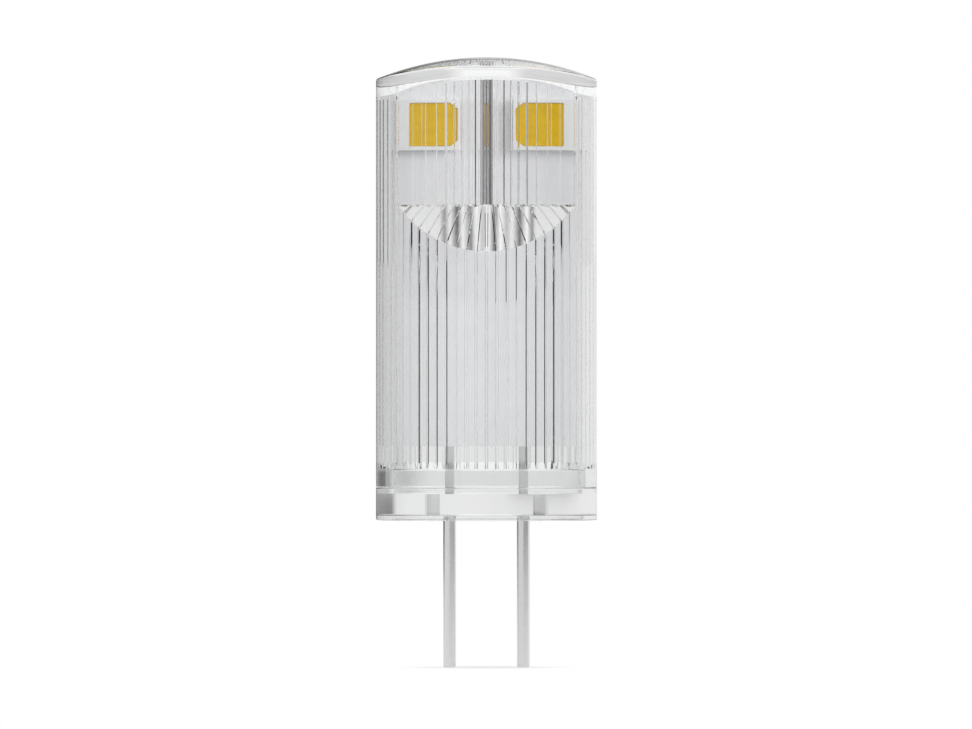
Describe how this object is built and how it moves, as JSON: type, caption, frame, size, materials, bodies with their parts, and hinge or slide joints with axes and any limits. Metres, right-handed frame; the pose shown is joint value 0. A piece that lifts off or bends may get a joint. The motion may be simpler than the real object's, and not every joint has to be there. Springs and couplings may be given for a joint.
{
  "type": "led capsule bulb",
  "caption": "Small clear capsule lamp with a fluted housing under an arched roof over an upright board of diodes and two straight contact pins under its base.",
  "frame": {"origin": "centre of the base's bottom face, midway between the two pins", "axes": "+Z along the bulb's axis towards its arched end, the pins point to -Z and stand along X, the front diodes face -Y"},
  "size_m": [0.012, 0.012, 0.0331],
  "materials": {
    "clear_plastic": "clear moulded plastic, polished",
    "plug_plastic": "clear moulded plastic, slightly satin",
    "pin_metal": "drawn wire, bright plated",
    "solder": "reflowed solder, satin",
    "plated_metal": "tin plated",
    "board_mask": "white solder mask",
    "led_package": "white moulded plastic",
    "phosphor": "yellow phosphor in clear silicone",
    "black_moulding": "black moulded epoxy",
    "capacitor_ceramic": "unglazed tan ceramic",
    "resistor_film": "black film on ceramic"
  },
  "bodies": {
    "root": {"base_plug": "plug_plastic", "bridge_rectifier": "black_moulding", "bridge_rectifier_leads": "plated_metal", "circuit_board": "board_mask", "clear_housing": "clear_plastic", "contact_pin_left": "pin_metal", "contact_pin_right": "pin_metal", "driver_chip": "black_moulding", "driver_chip_leads": "plated_metal", "input_capacitor": "capacitor_ceramic", "input_capacitor_end_caps": "plated_metal", "led_package_back_left": "led_package", "led_package_back_right": "led_package", "led_package_front_left": "led_package", "led_package_front_right": "led_package", "led_phosphor_back_left": "phosphor", "led_phosphor_back_right": "phosphor", "led_phosphor_front_left": "phosphor", "led_phosphor_front_right": "phosphor", "led_terminals_back_left": "plated_metal", "led_terminals_back_right": "plated_metal", "led_terminals_front_left": "plated_metal", "led_terminals_front_right": "plated_metal", "output_capacitor": "capacitor_ceramic", "output_capacitor_end_caps": "plated_metal", "sense_resistor_left": "resistor_film", "sense_resistor_left_end_caps": "plated_metal", "sense_resistor_right": "resistor_film", "sense_resistor_right_end_caps": "plated_metal", "solder_joint_left": "solder", "solder_joint_right": "solder"}
  },
  "joints": []
}
